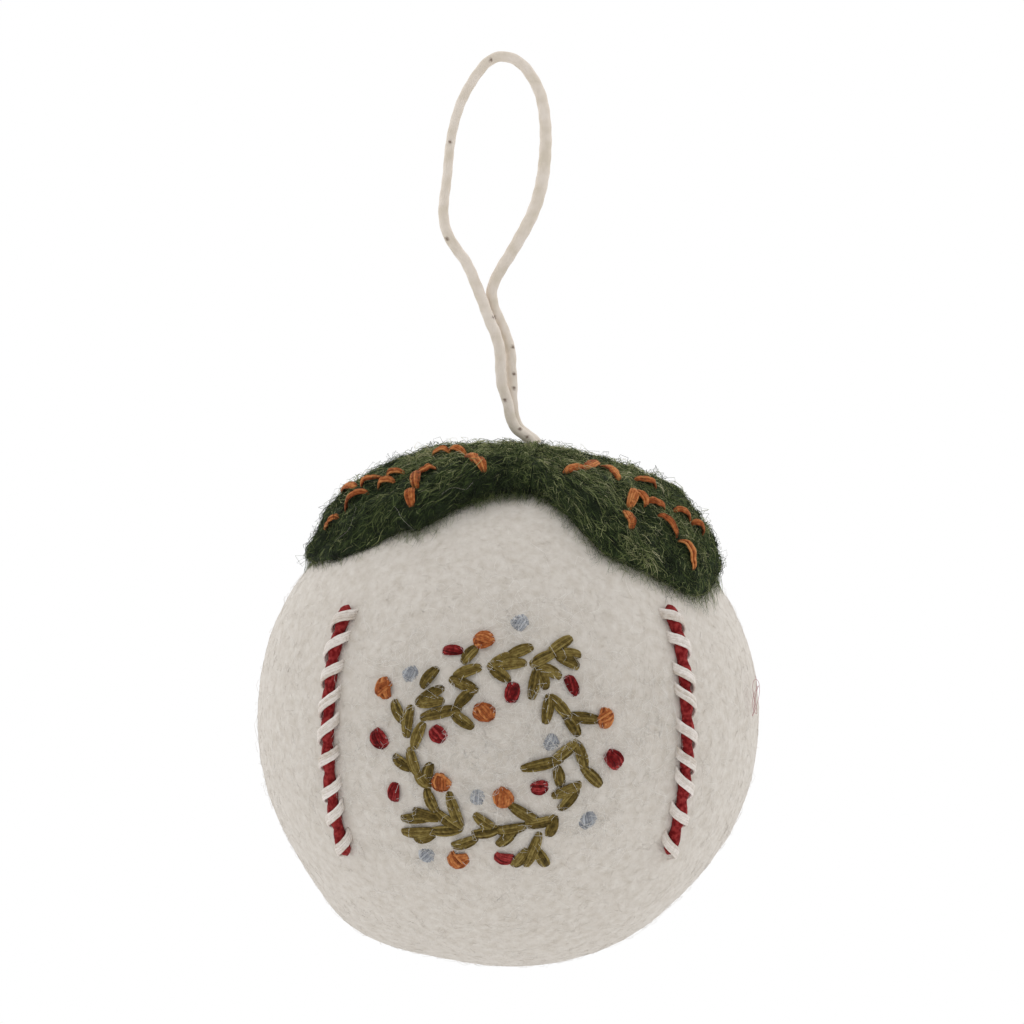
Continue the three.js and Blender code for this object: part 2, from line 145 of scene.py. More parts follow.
def add_mesh(name, points, faces, material, tone=None):
    """A piece with points in mm and faces as arrays of point numbers, one row to a face."""
    mesh = bpy.data.meshes.new(name)
    mesh.vertices.add(len(points))
    mesh.vertices.foreach_set("co", (points * mm).astype(np.float32).ravel())
    counts = np.concatenate([np.full(len(rows), rows.shape[1]) for rows in faces])
    corners = np.concatenate([rows.ravel() for rows in faces])
    mesh.loops.add(len(corners))
    mesh.loops.foreach_set("vertex_index", corners.astype(np.int32))
    mesh.polygons.add(len(counts))
    mesh.polygons.foreach_set("loop_start", (np.cumsum(counts) - counts).astype(np.int32))
    mesh.polygons.foreach_set("use_smooth", np.ones(len(counts), bool))
    if tone is not None:
        attribute = mesh.attributes.new("tone", "FLOAT", "POINT")
        attribute.data.foreach_set("value", tone.astype(np.float32))
    mesh.update(calc_edges=True)
    mesh.materials.append(material)
    piece = bpy.data.objects.new(name, mesh)
    bpy.context.scene.collection.objects.link(piece)
    return piece


def add_tubes(name, rings, material, tone=None):
    """The skins over rings shaped (tubes, rings, sides, 3): four-sided faces from each ring to the
    next, and one face to close each end."""
    tubes, count, sides = rings.shape[:3]
    number = np.arange(tubes * count * sides).reshape(tubes, count, sides)
    here, on = number[:, :-1], number[:, 1:]
    quads = np.stack([here, on, np.roll(on, -1, 2), np.roll(here, -1, 2)], -1).reshape(-1, 4)
    faces = [quads, number[:, 0], number[:, -1, ::-1]]
    return add_mesh(name, rings.reshape(-1, 3), faces, material, tone)


def linear(code):
    """An sRGB hex colour as linear red, green, blue and alpha: each channel c is c / 12.92 in the
    dark and ((c + 0.055) / 1.055)^2.4 above it."""
    channels = [int(code[i : i + 2], 16) / 255 for i in (1, 3, 5)]
    return [c / 12.92 if c <= 0.04045 else ((c + 0.055) / 1.055) ** 2.4 for c in channels] + [1]


def add_node(tree, kind, inputs=None, stops=(), **settings):
    """Adds a node. Settings are its own properties, inputs its sockets, each a value or a link,
    and stops the (position, sRGB hex) pairs of its colour ramp."""
    node = tree.nodes.new(kind)
    for key, value in settings.items():
        setattr(node, key, value)
    for key, value in (inputs or {}).items():
        if isinstance(value, bpy.types.NodeSocket):
            tree.links.new(value, node.inputs[key])
        else:
            node.inputs[key].default_value = value
    if stops:
        elements = node.color_ramp.elements
        for element, (position, code) in zip(elements, (stops[0], stops[-1])):
            element.position = position
            element.color = linear(code)
        for position, code in stops[1:-1]:
            elements.new(position).color = linear(code)
    return node


def add_material(name):
    """A material with an empty node tree."""
    material = bpy.data.materials.new(name)
    material.use_nodes = True
    material.node_tree.nodes.clear()
    return material, material.node_tree


def add_fabric(name, colour, blotch=None, tone_share=0.0, relief=None, sheen=0.0):
    """A dull fabric of one sRGB hex colour, or one that runs through stops by the tone of each
    hair. With a blotch (size in mm, detail) it runs by noise + tone_share x tone instead. Relief
    is fine noise (size in mm, detail, depth in mm), and sheen the light on its loose fibres."""
    material, tree = add_material(name)
    place = add_node(tree, "ShaderNodeTexCoord").outputs["Object"]
    look = {"Roughness": 0.95, "Specular IOR Level": 0.15, "Sheen Weight": sheen}
    if isinstance(colour, str):
        look["Base Color"] = linear(colour)
    else:
        share = add_node(tree, "ShaderNodeAttribute", attribute_name="tone").outputs["Fac"]
        if blotch:
            inputs = {"Vector": place, "Scale": 1 / (blotch[0] * mm), "Detail": blotch[1]}
            spots = add_node(tree, "ShaderNodeTexNoise", inputs).outputs["Fac"]
            inputs = {0: share, 1: tone_share, 2: spots}
            share = add_node(tree, "ShaderNodeMath", inputs, operation="MULTIPLY_ADD").outputs[0]
        ramp = add_node(tree, "ShaderNodeValToRGB", {"Fac": share}, colour)
        look["Base Color"] = ramp.outputs["Color"]
    if relief:
        inputs = {"Vector": place, "Scale": 1 / (relief[0] * mm), "Detail": relief[1]}
        fuzz = add_node(tree, "ShaderNodeTexNoise", inputs).outputs["Fac"]
        inputs = {"Height": fuzz, "Distance": relief[2] * mm}
        look["Normal"] = add_node(tree, "ShaderNodeBump", inputs).outputs["Normal"]
    shader = add_node(tree, "ShaderNodeBsdfPrincipled", look)
    add_node(tree, "ShaderNodeOutputMaterial", {"Surface": shader.outputs[0]})
    return material


def add_marks(material, kind, output, colour, inputs=None, low=0.0, high=1.0, most=1.0, **settings):
    """Marks of another colour on a fabric, where this output of a node of this kind runs from
    low to high. The fabric's colour turns to theirs by (output - low) / (high - low) x most."""
    tree = material.node_tree
    marks = add_node(tree, kind, inputs, **settings).outputs[output]
    inputs = {"Value": marks, "From Min": low, "From Max": high, "To Max": most}
    share = add_node(tree, "ShaderNodeMapRange", inputs).outputs[0]
    base = tree.nodes["Principled BSDF"].inputs["Base Color"]
    inputs = {0: share, 6: base.links[0].from_socket, 7: linear(colour)}
    mix = add_node(tree, "ShaderNodeMix", inputs, data_type="RGBA")
    tree.links.new(mix.outputs[2], base)


# Natural cotton, soft spun and unbleached: warm grey and quite dull, so that it stays a little
# darker than the white round it, with short fibres along it and the odd brown fleck of seed husk.
cotton_stops = [(0.3, "#D8CDBD"), (0.5, "#E1D6C9"), (0.72, "#E8DED3")]
cotton = add_fabric(
    "natural_cotton", cotton_stops, blotch=(2.5, 2), relief=(0.4, 4, 0.09), sheen=0.1
)
add_marks(cotton, "ShaderNodeAttribute", "Fac", "#5F4736", attribute_name="tone")

line = smooth_line(cord_route, cord_rings)
up = np.tile([0.0, -1.0, 0.0], (1, cord_rings, 1))
swell = np.interp(np.linspace(0, 1, cord_rings), np.linspace(0, 1, len(cord_swell)), cord_swell)
radius = cord_diameter / 2 * swell[None]
rings = sweep(line[None], up, radius, radius, cord_sides, cord_plies, cord_groove, cord_pitch)

# The tone of a husk fleck fades with the distance from its pixel, on the front of the cord only.
husks = np.array(husk_pixels, float) - hanging_point_pixel
skin = rings.reshape(-1, 3) / mm_per_pixel
away = np.hypot(skin[:, :1] - husks[:, 0], skin[:, 2:] + husks[:, 1]).min(1) * mm_per_pixel
middle = rings[..., 1].mean(-1, keepdims=True)
front = rings[..., 1] < middle - husk_front * cord_diameter / 2
husk = np.clip(husk_sharpness * (1 - away / husk_size), 0, 1) * front.ravel()
cord = add_tubes("cotton_loop", rings, cotton, husk)
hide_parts("hanging_loop", "cord_stem")
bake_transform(cord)

# Felt ball: wool felted round a core until it is firm, not quite round, with a matted skin of
# fine off-white fibres. Some of them stand off it, and a veil of them lies over the embroidery:
# each of the veil_places is a pixel, a spread in mm and a number of fibres.
ball_radius = 40
ball_centre = np.array((0, 0, -105.686))
ball_centre_pixel = (508, 718)
ball_rows, ball_columns = 150, 300
pole_gap = 1e-4
dent_size, dent_depth = 26, 0.2
lump_size, lump_depth = 4, 0.035
wave_count, wave_sizes = 14, (0.7, 1.5)
bulge_places = np.array([(-0.87, 0, 0.5), (-0.6, 0, -0.8), (0.93, 0, 0.2)])
bulge_heights, bulge_widths = np.array((0.85, 1.45, 0.5)), np.array((0.38, 0.2, 0.3))
fibre_points, fibre_sides = 5, 3
fibre_shares = np.linspace(0, 1, fibre_points)
fibre_taper = np.array([0.55, 0.95, 1, 0.85, 0.3])
fibre_thickness_range, fibre_pace_range, fibre_peak_range = (0.7, 1.2), (2, 5), (0.6, 2.2)
fibre_sink = 0.05
slant_way = (0.31, 0.82, 0.48)
felt_fibres, felt_fibre_length, felt_fibre_bend = 7400, (2, 4.5), 1.8
felt_fibre_radius, felt_fibre_lift = 0.021, (0, 0.03)
loose_fibres, loose_fibre_length, loose_fibre_bend = 1500, (2, 6), 1.6
loose_fibre_radius, loose_fibre_lift, loose_fibre_spread = 0.02, 0.35, (2, 0.4)
veil_length, veil_bend, veil_radius, veil_lift = (2.5, 6.5), 1.6, 0.022, (0.3, 1.1)
veil_tones, veil_edge = (0.85, 1), 0.97
veil_places = [
    (495, 745, 12, 1600), (519, 622, 1.4, 60), (412, 672, 1.4, 60), (550, 740, 1.4, 60),
    (478, 795, 1.4, 60), (588, 818, 1.4, 60), (428, 853, 1.4, 60), (650, 735, 6, 280),
    (360, 745, 6, 180),
]


def waves(points, size, seed):
    """A smooth random height of about 1 at points: a few sine waves some size mm long, summed
    and divided by the root of half their number."""
    generator = np.random.default_rng(seed)
    ways = unit(generator.normal(size=(wave_count, 3)))
    turns = 2 * np.pi / (size * generator.uniform(*wave_sizes, wave_count))
    starts = generator.uniform(0, 2 * np.pi, wave_count)
    return np.sin(points @ (ways * turns[:, None]).T + starts).sum(-1) / np.sqrt(wave_count / 2)


def ball_skin(way):
    """The distance of the ball's skin from its centre, in each direction: the radius, two sizes
    of waves, and for each bulge its height x exp(-(d / width)^2 / 2) at distance d from it."""
    place = way * ball_radius
    dents = dent_depth * waves(place, dent_size, 1) + lump_depth * waves(place, lump_size, 2)
    away = np.linalg.norm(way[..., None, :] - unit(bulge_places), axis=-1)
    bulges = bulge_heights * np.exp(-((away / bulge_widths) ** 2) / 2)
    return ball_radius + dents + bulges.sum(-1)


def seen_at(pixels, height):
    """The way from the ball's centre to what shows at a pixel of the front view, this high: x and
    z are mm from the centre's pixel, and y is -(height^2 - x^2 - z^2)^0.5."""
    x = (pixels[..., 0] - ball_centre_pixel[0]) * mm_per_pixel
    z = (ball_centre_pixel[1] - pixels[..., 1]) * mm_per_pixel
    y = -np.sqrt(np.maximum(0, height**2 - x**2 - z**2))
    return unit(np.stack([x, y, z], -1))


def curly_heading(start, phase, bend, generator):
    """The heading of curly hairs at each of their points: at share s of a hair it is start +
    turn x s + sway x sin(phase + pace x s), with its own random turn, sway and pace."""
    turn, sway = generator.normal(0, bend, (2, len(start), 1))
    pace = generator.uniform(*fibre_pace_range, (len(start), 1))
    return start + turn * fibre_shares + sway * np.sin(phase + pace * fibre_shares)


def curl(way, length, bend, generator):
    """Curly lines over a ball, as unit directions shaped (lines, points, 3): from each way they
    go the given length in even steps along their curly heading, which starts from the direction
    square to both the way and slant_way."""
    across = unit(np.cross(way, slant_way))
    along = np.cross(way, across)
    start, phase = generator.uniform(0, 2 * np.pi, (2, len(way), 1))
    heading = curly_heading(start, phase, bend, generator)
    step = length[:, None] / (fibre_points - 1)
    x = np.cumsum(np.cos(heading) * step, 1)[..., None]
    y = np.cumsum(np.sin(heading) * step, 1)[..., None]
    return unit(way[:, None] * ball_radius + across[:, None] * x + along[:, None] * y)


def add_fibres(name, lines, thickness, material, generator, tone):
    """Three-sided hairs along lines from the ball's centre, tapered to both ends. Each hair has
    its tone and, in the map for baking, its own square of a grid: its sides fill the field in the
    middle of the square, and its two ends lie beside it."""
    count = len(lines)
    radius = thickness * generator.uniform(*fibre_thickness_range, (count, 1)) * fibre_taper
    rings = sweep(lines, unit(lines), radius, radius, fibre_sides) + ball_centre
    hairs = add_tubes(name, rings, material, np.repeat(tone, fibre_points * fibre_sides))
    cells = math.ceil(math.sqrt(count))
    corner = np.stack(np.divmod(np.arange(count), cells), 1)[:, None]
    step, side = np.meshgrid(np.arange(fibre_points - 1), np.arange(fibre_sides), indexing="ij")
    quad = np.stack([step, side, step + 1, side, step + 1, side + 1, step, side + 1], -1)
    field, field_corner = (0.7, 0.8), (0.15, 0.1)
    quad = quad.reshape(-1, 2) * (field[0] / (fibre_points - 1), field[1] / fibre_sides)
    cap = np.array([(0.03, 0.1), (0.1, 0.1), (0.03, 0.3)])
    parts = (quad + field_corner, cap, 1 - cap)
    places = np.concatenate([((corner + part) / cells).reshape(-1, 2) for part in parts])
    bake = hairs.data.uv_layers.new(name="OFBake")
    bake.data.foreach_set("uv", places.astype(np.float32).ravel())
    return hairs


def even_ways(count, generator):
    """Directions spread over the whole sphere: three normal numbers each, at length 1."""
    return unit(generator.normal(size=(count, 3)))


# White wool felt: off-white, matt and a little cloudy, with a soft nap and a few grey specks of
# coarser wool. Its hairs run from grey-white to nearly white, which shows the nap from close by.
wool_stops = [(0.25, "#C7BFB4"), (0.5, "#D2CBC2"), (0.75, "#DBD5CD")]
wool = add_fabric("white_wool_felt", wool_stops, blotch=(1.3, 8), relief=(0.7, 6, 0.17), sheen=0.1)
speck_size = 0.6
place = wool.node_tree.nodes["Texture Coordinate"].outputs["Object"]
specks = {"Vector": place, "Scale": 1 / (speck_size * mm), "Detail": 1}
add_marks(
    wool, "ShaderNodeTexNoise", "Fac", "#A39689", inputs=specks, low=0.71, high=0.79, most=0.22
)
hair_stops = [(0, "#CDC4B9"), (0.1, "#D4CCC2"), (0.5, "#DAD3CA"), (0.8, "#E9E5DF"), (1, "#F2EFEA")]
wool_hair = add_fabric("white_wool_fibre", hair_stops)

turn = 2 * np.pi * np.arange(ball_columns) / ball_columns
tilt = np.pi * np.linspace(0, 1, ball_rows)[:, None]
tilt[0], tilt[-1] = pole_gap, np.pi - pole_gap
out = np.sin(tilt)
way = np.stack([out * np.cos(turn), out * np.sin(turn), np.cos(tilt) + 0 * turn], -1)
skin = way * ball_skin(way)[..., None] + ball_centre
ball = add_tubes("felt_ball_skin", skin[None, ::-1], wool)
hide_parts("felt_ball")
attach(ball, "bauble")


def ball_fibres(name, ways, length, bend, lift, thickness, generator, tones=(0, 0.75)):
    """Hairs that rise from the ball's skin at each way to lift mm and sink in it again, as
    sin(pi s^peak) at share s, each with a random peak."""
    ways = curl(ways, generator.uniform(*length, len(ways)), bend, generator)
    peak = generator.uniform(*fibre_peak_range, (len(ways), 1))
    arch = np.sin(np.pi * fibre_shares**peak)
    height = ball_skin(ways) - fibre_sink + (lift[:, None] + fibre_sink) * arch
    tone = generator.uniform(*tones, len(ways))
    fibres = add_fibres(name, ways * height[..., None], thickness, wool_hair, generator, tone)
    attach(fibres, "bauble")


generator = np.random.default_rng(11)
lift = generator.uniform(*felt_fibre_lift, felt_fibres)
ways = even_ways(felt_fibres, generator)
ball_fibres(
    "felt_ball_fibres", ways, felt_fibre_length, felt_fibre_bend, lift, felt_fibre_radius, generator
)
generator = np.random.default_rng(13)
lift = loose_fibre_lift * generator.gamma(*loose_fibre_spread, loose_fibres)
ways = even_ways(loose_fibres, generator)
ball_fibres(
    "felt_ball_loose_fibres", ways, loose_fibre_length, loose_fibre_bend, lift,
    loose_fibre_radius, generator,
)
generator = np.random.default_rng(14)
ways = []
for x, y, spread, count in veil_places:
    place = generator.normal((x, y), spread / mm_per_pixel, (count, 2))
    off_centre = np.hypot(*(place - ball_centre_pixel).T)
    place = place[off_centre < veil_edge * ball_radius / mm_per_pixel]
    ways.append(seen_at(place, ball_radius))
ways = np.concatenate(ways)
lift = generator.uniform(*veil_lift, len(ways))
ball_fibres(
    "felt_ball_veil_fibres", ways, veil_length, veil_bend, lift, veil_radius, generator, veil_tones
)

# Leaves: two thick lobed pieces of green wool felt over the top of the ball, left and right of
# the cord and butted below it. Their soft surface has come up in a dense curly fuzz of tufts, in
# three layers, with a fringe of single hairs round the rim.
exit_way = unit(np.array((4.35, 0, 44.186)))
right_way = np.array((exit_way[2], 0, -exit_way[0]))
front_way = np.array((0, -1.0, 0))
leaf_under, rim_height, rim_slack = 40.2, 1.4, 5
# Their edge in front is in pixels, and behind in degrees and mm round the exit of the cord.
left_rim_pixels = [
    (533, 489), (522, 488), (507, 488), (494, 490), (482, 494), (468, 498), (454, 504), (441, 511),
    (429, 522), (418, 529), (404, 528), (390, 531), (378, 540), (366, 546), (350, 551), (334, 558),
    (316, 561), (304, 556), (298, 548),
]
right_rim_pixels = [
    (539, 490), (550, 497), (560, 505), (571, 514), (582, 524), (591, 538), (601, 549), (614, 556),
    (628, 561), (646, 568), (664, 578), (682, 587), (696, 593), (708, 592), (714, 583), (716, 572),
]
left_back = [
    (160, 40), (170, 39.5), (182, 37.5), (196, 34.5), (212, 36), (228, 31), (244, 30), (258, 24),
    (278, 22),
]
right_back = [
    (-98, 22), (-78, 24.5), (-62, 31.5), (-48, 29), (-30, 33.5), (-14, 32.5), (0, 33.5), (11, 35),
]
# How thick they are at each distance from the exit, both in mm.
left_thickness = [
    (0, 3.4), (6, 3.8), (9, 4.2), (14, 4.4), (20, 4.7), (25, 4.8), (30, 4.4), (32, 3.9), (36, 2.6),
    (40, 3.0), (42, 2.7),
]
right_thickness = [
    (0, 3.2), (4, 3.8), (10, 3.9), (15, 4.2), (19, 4.9), (24, 4.7), (28, 4.0), (34, 2.8),
    (38, 2.3), (42, 1.8),
]
# Their section, in shares of the reach and of the thickness: along the top and back underneath.
leaf_section = [
    (0, 1), (0.28, 1), (0.56, 1), (0.78, 1), (0.9, 0.92), (0.98, 0.68), (1, 0.42), (0.96, 0.12),
    (0.88, 0), (0.56, 0), (0.28, 0), (0, 0),
]
typical_reach, typical_thickness = 35, 4
leaf_columns, leaf_rows = 280, 130
leaf_lumps = [(8, 0.28), (3, 0.16), (1, 0.07)]
edge_smoothing = (-3, -1.5, 0, 1.5, 3)
# Each layer of fuzz: its name, its number of hairs and their lengths, lift, thickness and bend.
fuzz_layers = [
    ("matted", 7400, (1.8, 4.5), 0.22, 0.055, 0.9),
    ("curly", 7400, (1.5, 4.0), 0.32, 0.038, 1.2),
    ("standing", 7400, (1.2, 3.0), 0.48, 0.026, 1.4),
]
tuft_count, tuft_spread, tuft_turn, tuft_lean = 1100, 0.45, 0.45, 0.15
# Painted shade on the fuzz: how much darker its tones get towards the rim, on each side, and the
# share of the way out at which they are neither darker nor lighter.
painted_rim_shade, painted_shade_turn = {"left": 0.62, "right": 0.42}, {"left": 0.52, "right": 0.6}
tuft_tone, tuft_tone_range, patch_size, patch_tone = 0.43, 0.38, 7, 0.06
tuft_last_share, fuzz_share_range, fuzz_least_reach = 0.62, (0.01, 0.64), 4
tuft_rise_spread, fuzz_rise_spread = (3, 1 / 3), (2, 0.5)
fuzz_peak_range, fuzz_most_rise = (0.7, 2.0), 2.2
tuft_margin, fuzz_margin, fringe_margin = 1, 0.5, 2
slope_degrees, slope_share = 0.5, 0.005
fringe_fibres, fringe_reach, fringe_radius = 2200, (1.0, 4.2), 0.017
fringe_lean, fringe_turn, fringe_sway, fringe_pace, fringe_phases = 0.8, 1, 0.7, 4, (0, 6)
fringe_root, fringe_drop, fringe_fall, fringe_tones = 0.9, (0.2, 1.8), (0.5, 2), (0.1, 0.75)


def round_exit(way):
    """Degrees round the cord's exit, 0 right and 90 front, and mm from it along the ball, which
    is the ball's radius x the angle between the way and the exit's."""
    distance = ball_radius * np.arccos(np.clip(way @ exit_way, -1, 1))
    return np.degrees(np.arctan2(way @ front_way, way @ right_way)), distance


def from_exit(degrees, distance):
    """The way from the ball's centre that is round_exit's degrees and mm from the exit: the
    exit's x cos b + side x sin b at b = distance / radius, with side = right x cos turn + front x
    sin turn."""
    turn, bend = np.radians(degrees)[..., None], (distance / ball_radius)[..., None]
    side = right_way * np.cos(turn) + front_way * np.sin(turn)
    return exit_way * np.cos(bend) + side * np.sin(bend)


def leaf_rim(pixels, back):
    """A leaf's edge as degrees and mm round the exit, from its pixels in front and on behind."""
    degrees, distance = round_exit(seen_at(np.array(pixels, float), leaf_under + rim_height))
    rim = np.vstack([np.stack([degrees, distance], 1), back])
    return rim[np.argsort(rim[:, 0])]


def leaf_edge(edge, degrees):
    """How far from the cord's exit the leaf's edge is, in each direction round the exit: the mean
    over a few degrees to both sides."""
    return np.mean([np.interp(degrees + step, *edge.T) for step in edge_smoothing], 0)


def leaf_skin(degrees, share, edge, thickness):
    """The point of a leaf's skin in a direction round the cord's exit, 0 right and 90 front, and
    this share of the way round its section. It is across x the edge's distance from the exit, and
    the underside + (thickness + lumps) x rise from the ball's centre, across and rise by the
    section."""
    across, rise = [np.interp(share, section_shares, column) for column in section.T]
    distance = leaf_edge(edge, degrees) * across
    way = from_exit(degrees, distance)
    height = np.interp(distance, *np.array(thickness).T)
    lumps = sum(depth * waves(way * ball_radius, size, size) for size, depth in leaf_lumps)
    return way * (leaf_under + (height + lumps) * rise)[..., None]


def leaf_place(way, edge):
    """Where a direction from the ball's centre meets a leaf's top: its degrees, and the section's
    share at its distance / the edge's distance."""
    degrees, distance = round_exit(way)
    degrees = np.where(degrees < edge[0, 0] - rim_slack, degrees + 360, degrees)
    top = len(section) // 2
    share = np.interp(distance / leaf_edge(edge, degrees), section[:top, 0], section_shares[:top])
    return degrees, share


left_edge = leaf_rim(left_rim_pixels, left_back)
right_edge = leaf_rim(right_rim_pixels, right_back)
section = smooth_line(np.array(leaf_section) * (typical_reach, typical_thickness), leaf_rows)
section = section / (typical_reach, typical_thickness)
section_shares = np.linspace(0, 1, leaf_rows)

# Green wool felt: dark moss green, nearly black in its depth, under hairs that go from the same
# dark green through moss to a dry straw, as in wool that was dyed in the fleece and blended.
green_stops = [(0.35, "#172010"), (0.55, "#2A361E"), (0.75, "#48552F")]
green = add_fabric(
    "green_wool_felt", green_stops, blotch=(1.6, 6), relief=(0.8, 5, 0.5), sheen=0.05
)
hair_stops = [
    (0, "#151D0E"), (0.25, "#313F21"), (0.5, "#5F6E3E"), (0.75, "#A1A672"), (1, "#CCC6A2"),
]
green_hair = add_fabric("green_wool_fibre", hair_stops, sheen=0.06)

for side, edge, thickness, first, last in (
    ("right", right_edge, right_thickness, -90, 90),
    ("left", left_edge, left_thickness, 90, 270),
):
    degrees, share = np.meshgrid(
        np.linspace(first, last, leaf_columns), section_shares, indexing="ij"
    )
    skin = leaf_skin(degrees, share, edge, thickness)
    leaf = add_tubes(f"leaf_{side}_felt", (skin + ball_centre)[None, ::-1], green)
    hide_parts(f"leaf_{side}")
    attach(leaf, "bauble")

    # Fuzz: in each layer tufts are spread evenly over the top and the rim. A tuft's hairs share
    # its heading, tone and rise, each with a difference of its own. Tones are painted darker
    # outwards, as painted shade on the rim that faces down and forward, and lighter near the cord.
    generator = np.random.default_rng(200 + last)
    open_share = section_shares[section_shares < tuft_last_share]
    weight = np.cumsum(np.interp(open_share, section_shares, section[:, 0]))
    for layer, count, length, lift, fineness, bend in fuzz_layers:
        tuft_share = np.interp(generator.uniform(0, weight[-1], tuft_count), weight, open_share)
        tuft_degrees = generator.uniform(first + tuft_margin, last - tuft_margin, tuft_count)
        tuft_heading = generator.uniform(0, 2 * np.pi, tuft_count)
        tuft_top = leaf_skin(tuft_degrees, tuft_share, edge, thickness)
        patch = patch_tone * waves(tuft_top, patch_size, 5)
        # Painted shade: the tufts' tones go darker towards the rim and lighter towards the cord.
        out_share = np.interp(tuft_share, section_shares, section[:, 0])
        patch -= painted_rim_shade[side] * (out_share - painted_shade_turn[side])
        scatter = generator.uniform(-tuft_tone_range, tuft_tone_range, tuft_count)
        tone = tuft_tone + patch + scatter
        tuft_rise = generator.gamma(*tuft_rise_spread, tuft_count)
        tuft = generator.integers(0, tuft_count, count)
        reach = np.maximum(typical_reach * out_share[tuft], fuzz_least_reach)[:, None]
        phase = generator.uniform(0, 2 * np.pi, (count, 1))
        start = tuft_heading[tuft, None] + generator.normal(0, tuft_turn, (count, 1))
        heading = curly_heading(start, phase, bend, generator)
        step = generator.uniform(*length, (count, 1)) / (fibre_points - 1)
        aside, along = generator.normal(0, tuft_spread, (2, count, 1))
        aside = aside + np.cumsum(np.cos(heading) * step, 1)
        along = along + np.cumsum(np.sin(heading) * step, 1)
        degrees = tuft_degrees[tuft, None] + np.degrees(aside / reach)
        degrees = np.clip(degrees, first + fuzz_margin, last - fuzz_margin)
        share = tuft_share[tuft, None] + along / (2 * typical_reach)
        share = np.clip(share, *fuzz_share_range)
        skin = leaf_skin(degrees, share, edge, thickness)
        out = unit(np.cross(
            leaf_skin(degrees + slope_degrees, share, edge, thickness) - skin,
            leaf_skin(degrees, share + slope_share, edge, thickness) - skin,
        ))
        peak = generator.uniform(*fuzz_peak_range, (count, 1))
        rise = np.minimum(generator.gamma(*fuzz_rise_spread, (count, 1)), fuzz_most_rise)
        rise = lift * rise * tuft_rise[tuft, None] * np.sin(np.pi * fibre_shares**peak)
        lines = skin + out * (rise - fibre_sink)[..., None]
        tone = np.clip(tone[tuft] + generator.normal(0, tuft_lean, count), 0, 1)
        fibres = add_fibres(
            f"leaf_{side}_{layer}_fibres", lines, fineness, green_hair, generator, tone
        )
        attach(fibres, "bauble")

    # Fringe: hairs that start a little inside the rim, run outwards over it and drop to the ball.
    each = (fringe_fibres, 1)
    degrees = generator.uniform(first + fringe_margin, last - fringe_margin, each)
    lean, phase = generator.normal(0, fringe_lean, each), generator.uniform(*fringe_phases, each)
    heading = lean + generator.normal(0, fringe_turn, each) * fibre_shares
    heading = heading + fringe_sway * np.sin(phase + fringe_pace * fibre_shares)
    step = generator.uniform(*fringe_reach, each) / (fibre_points - 1)
    distance = leaf_edge(edge, degrees) - fringe_root + np.cumsum(np.cos(heading) * step, 1)
    degrees = degrees + np.degrees(np.cumsum(np.sin(heading) * step, 1) / typical_reach)
    drop = generator.uniform(*fringe_drop, each)
    drop = drop * (1 - fibre_shares) ** generator.uniform(*fringe_fall)
    lines = from_exit(degrees, distance) * (leaf_under + drop)[..., None]
    tone = generator.uniform(*fringe_tones, fringe_fibres)
    fibres = add_fibres(
        f"leaf_{side}_fringe_fibres", lines, fringe_radius, green_hair, generator, tone
    )
    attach(fibres, "bauble")

# Wreath: fourteen sprigs of olive leaf stitches, each stitch a few strands of soft wool thread
# that dip in the felt at both ends. Each stitch is given by the pixels of its two ends.
sprigs = [
    [(477, 646, 464, 661), (481, 666, 455, 675), (451, 677, 478, 689)],
    [(474, 688, 457, 705), (421, 716, 462, 706), (453, 711, 473, 725)],
    [(438, 667, 423, 685), (417, 702, 444, 686), (419, 702, 444, 699)],
    [(395, 699, 405, 721), (412, 704, 407, 735), (424, 721, 414, 746)],
    [(395, 754, 412, 767), (410, 746, 419, 774), (417, 771, 430, 784), (431, 762, 427, 777)],
    [(427, 787, 437, 809), (414, 808, 442, 816), (402, 816, 437, 813), (403, 829, 436, 828),
     (432, 828, 462, 826), (437, 809, 462, 827), (449, 790, 462, 824), (416, 836, 434, 832)],
    [(453, 843, 477, 835), (473, 831, 500, 825), (475, 812, 496, 825), (495, 827, 526, 822),
     (498, 841, 515, 826)],
    [(509, 801, 537, 817), (525, 821, 555, 815), (554, 813, 548, 832)],
    [(513, 861, 526, 846), (525, 862, 539, 829), (546, 861, 537, 846)],
    [(580, 781, 552, 793), (577, 785, 559, 806)],
    [(577, 739, 550, 760), (563, 756, 521, 766), (576, 740, 584, 766), (582, 765, 600, 783),
     (556, 764, 560, 783)],
    [(549, 693, 545, 721), (550, 694, 569, 716), (564, 712, 578, 733), (568, 714, 598, 718)],
    [(531, 663, 554, 651), (548, 652, 571, 636), (553, 652, 580, 653), (558, 655, 578, 665),
     (539, 664, 560, 675), (537, 667, 531, 697), (539, 669, 546, 686)],
    [(489, 667, 512, 653), (508, 655, 532, 645), (491, 666, 526, 661), (491, 667, 509, 679)],
]
sprig_width, sprig_height, sprig_strands = 1.9, 0.75, 5
stitch_points, stitch_tip, stitch_overrun, stitch_sink, stitch_crown = 13, 0.005, 2, 0.6, 0.3
bundle_end, strand_end, strand_overlap = 0.15, 0.45, 1.15
strand_sides, strand_plies, strand_groove, strand_pitch = 8, 2, 0.1, 2.2


def stitch_ends(stitches):
    """The pixels of both ends of each stitch, moved on by the bit that dips in the felt."""
    ends = np.array(stitches, float).reshape(-1, 2, 2)
    return ends + unit(ends - ends[:, ::-1]) * stitch_overrun


